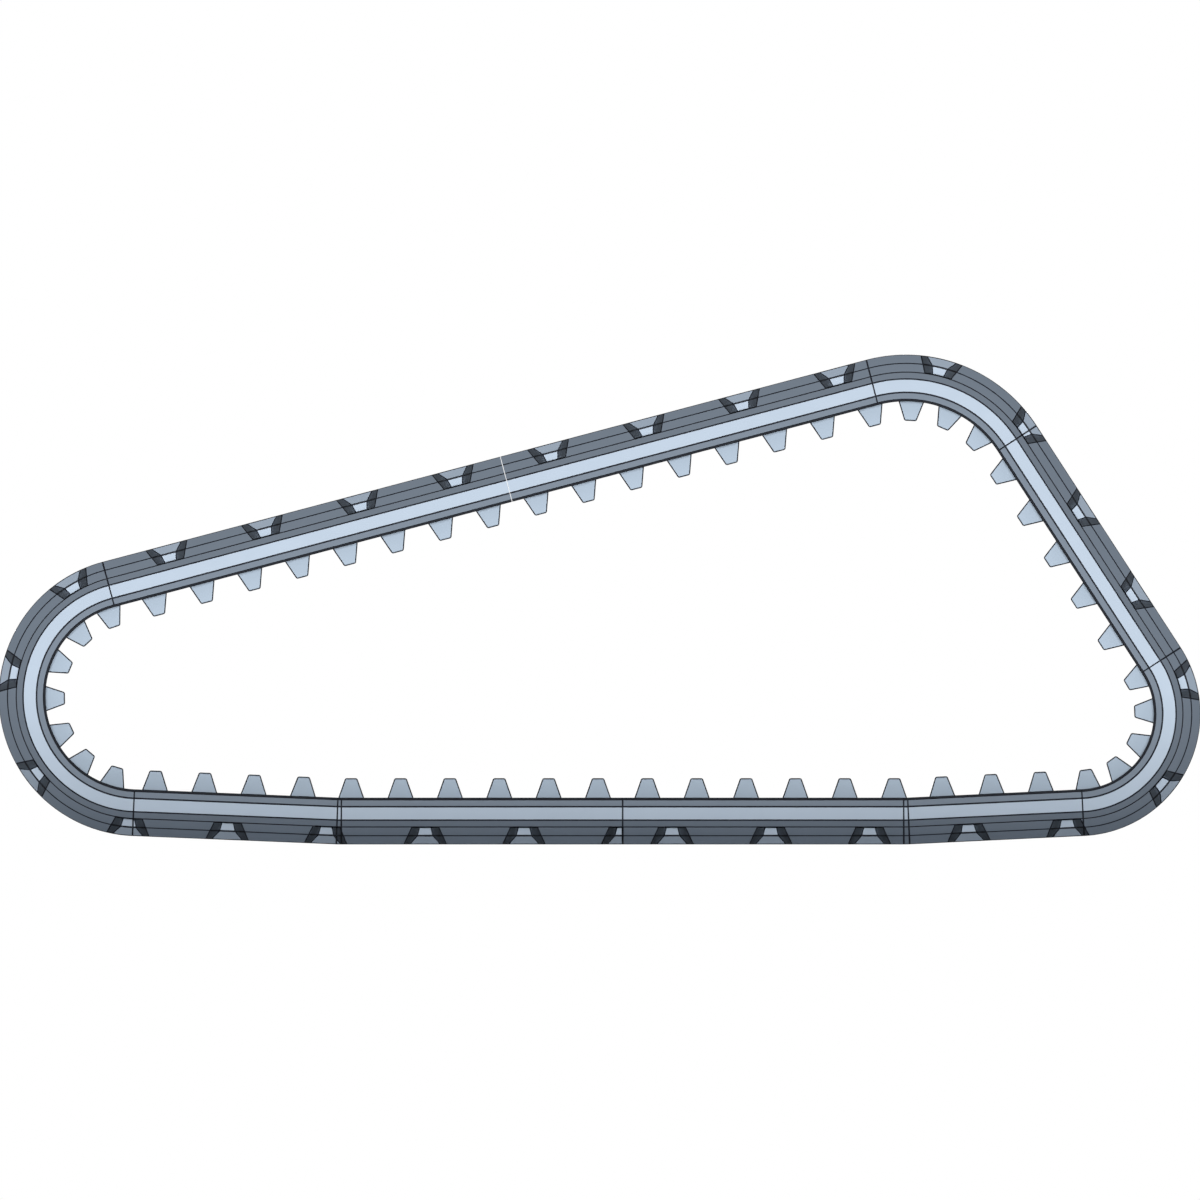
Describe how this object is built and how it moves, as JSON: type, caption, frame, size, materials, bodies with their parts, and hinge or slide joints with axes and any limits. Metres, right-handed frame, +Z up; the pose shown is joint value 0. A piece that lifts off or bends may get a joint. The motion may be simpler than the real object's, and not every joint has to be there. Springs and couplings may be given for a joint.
{
  "type": "rubber track",
  "caption": "Endless rubber track in its fitted three-wheel shape, with embedded core inserts, guide lugs, sprocket windows and a zig-zag tread.",
  "frame": {"origin": "on the ground, under the middle of the track in length and width", "axes": "+X from the front idler to the rear idler, +Y across the belt, +Z up"},
  "size_m": [2.0939, 0.45, 0.8535],
  "materials": {
    "carcass_rubber": "matt moulded rubber, blue-grey",
    "tread_rubber": "matt moulded tread rubber, darker",
    "path_rubber": "hard smooth rubber, rolled",
    "lug_rubber": "matt moulded rubber over a steel horn",
    "web_rubber": "matt moulded rubber that flexes",
    "forged_steel": "forged steel, coated with bonding agent",
    "cord_steel": "brass-plated stranded steel",
    "ply_fabric": "woven bias ply, dipped"
  },
  "bodies": {
    "bottom_run": {"carcass_bottom_run": "carcass_rubber", "tread_bottom_run": "tread_rubber", "roller_paths_bottom_run": "path_rubber", "guide_lugs_bottom_run": "lug_rubber", "core_inserts_bottom_run": "forged_steel", "steel_cords_bottom_run": "cord_steel", "fabric_ply_bottom_run": "ply_fabric", "flex_web_rear_in": "web_rubber", "flex_web_front_out": "web_rubber"},
    "rear_bend": {"carcass_rear_bend": "carcass_rubber", "tread_rear_bend": "tread_rubber", "roller_paths_rear_bend": "path_rubber", "guide_lugs_rear_bend": "lug_rubber", "core_inserts_rear_bend": "forged_steel", "steel_cords_rear_bend": "cord_steel", "fabric_ply_rear_bend": "ply_fabric"},
    "rear_run": {"carcass_rear_run": "carcass_rubber", "tread_rear_run": "tread_rubber", "roller_paths_rear_run": "path_rubber", "guide_lugs_rear_run": "lug_rubber", "core_inserts_rear_run": "forged_steel", "steel_cords_rear_run": "cord_steel", "fabric_ply_rear_run": "ply_fabric", "flex_web_rear_out": "web_rubber", "flex_web_sprocket_in": "web_rubber"},
    "sprocket_bend": {"carcass_sprocket_bend": "carcass_rubber", "tread_sprocket_bend": "tread_rubber", "roller_paths_sprocket_bend": "path_rubber", "guide_lugs_sprocket_bend": "lug_rubber", "core_inserts_sprocket_bend": "forged_steel", "steel_cords_sprocket_bend": "cord_steel", "fabric_ply_sprocket_bend": "ply_fabric"},
    "top_rear": {"carcass_top_rear": "carcass_rubber", "tread_top_rear": "tread_rubber", "roller_paths_top_rear": "path_rubber", "guide_lugs_top_rear": "lug_rubber", "core_inserts_top_rear": "forged_steel", "steel_cords_top_rear": "cord_steel", "fabric_ply_top_rear": "ply_fabric", "flex_web_sprocket_out": "web_rubber"},
    "top_front": {"carcass_top_front": "carcass_rubber", "tread_top_front": "tread_rubber", "roller_paths_top_front": "path_rubber", "guide_lugs_top_front": "lug_rubber", "core_inserts_top_front": "forged_steel", "steel_cords_top_front": "cord_steel", "fabric_ply_top_front": "ply_fabric", "flex_web_front_in": "web_rubber"},
    "front_bend": {"carcass_front_bend": "carcass_rubber", "tread_front_bend": "tread_rubber", "roller_paths_front_bend": "path_rubber", "guide_lugs_front_bend": "lug_rubber", "core_inserts_front_bend": "forged_steel", "steel_cords_front_bend": "cord_steel", "fabric_ply_front_bend": "ply_fabric"}
  },
  "joints": [
    {"name": "rear_in_flex", "type": "hinge", "parent": "bottom_run", "child": "rear_bend", "pos_m": [0.81393, 0, 0.05214], "axis": [0, -1, 0], "range_deg": [0, 26.7], "deforming": ["flex_web_rear_in"]},
    {"name": "rear_out_flex", "type": "hinge", "parent": "rear_bend", "child": "rear_run", "pos_m": [1.001, 0, 0.27708], "axis": [0, 1, 0], "range_deg": [0, 26.76], "deforming": ["flex_web_rear_out"]},
    {"name": "sprocket_in_flex", "type": "hinge", "parent": "rear_run", "child": "sprocket_bend", "pos_m": [0.77315, 0, 0.64101], "axis": [0, -1, 0], "range_deg": [0, 22.02], "deforming": ["flex_web_sprocket_in"]},
    {"name": "sprocket_out_flex", "type": "hinge", "parent": "sprocket_bend", "child": "top_rear", "pos_m": [0.50236, 0, 0.81254], "axis": [0, 1, 0], "range_deg": [0, 22.53], "deforming": ["flex_web_sprocket_out"]},
    {"name": "front_out_flex", "type": "hinge", "parent": "bottom_run", "child": "front_bend", "pos_m": [-0.81944, 0, 0.05389], "axis": [0, -1, 0], "range_deg": [0, 24.49], "deforming": ["flex_web_front_out"]},
    {"name": "front_in_flex", "type": "hinge", "parent": "front_bend", "child": "top_front", "pos_m": [-0.82825, 0, 0.46229], "axis": [0, 1, 0], "range_deg": [0, 25.05], "deforming": ["flex_web_front_in"]}
  ],
  "couplings": [
    {"joint": "rear_out_flex", "follows": "rear_in_flex", "ratio": 1.0016},
    {"joint": "sprocket_in_flex", "follows": "rear_in_flex", "ratio": 0.82416},
    {"joint": "sprocket_out_flex", "follows": "rear_in_flex", "ratio": 0.84337},
    {"joint": "front_out_flex", "follows": "rear_in_flex", "ratio": 0.91673},
    {"joint": "front_in_flex", "follows": "rear_in_flex", "ratio": 0.93759}
  ]
}
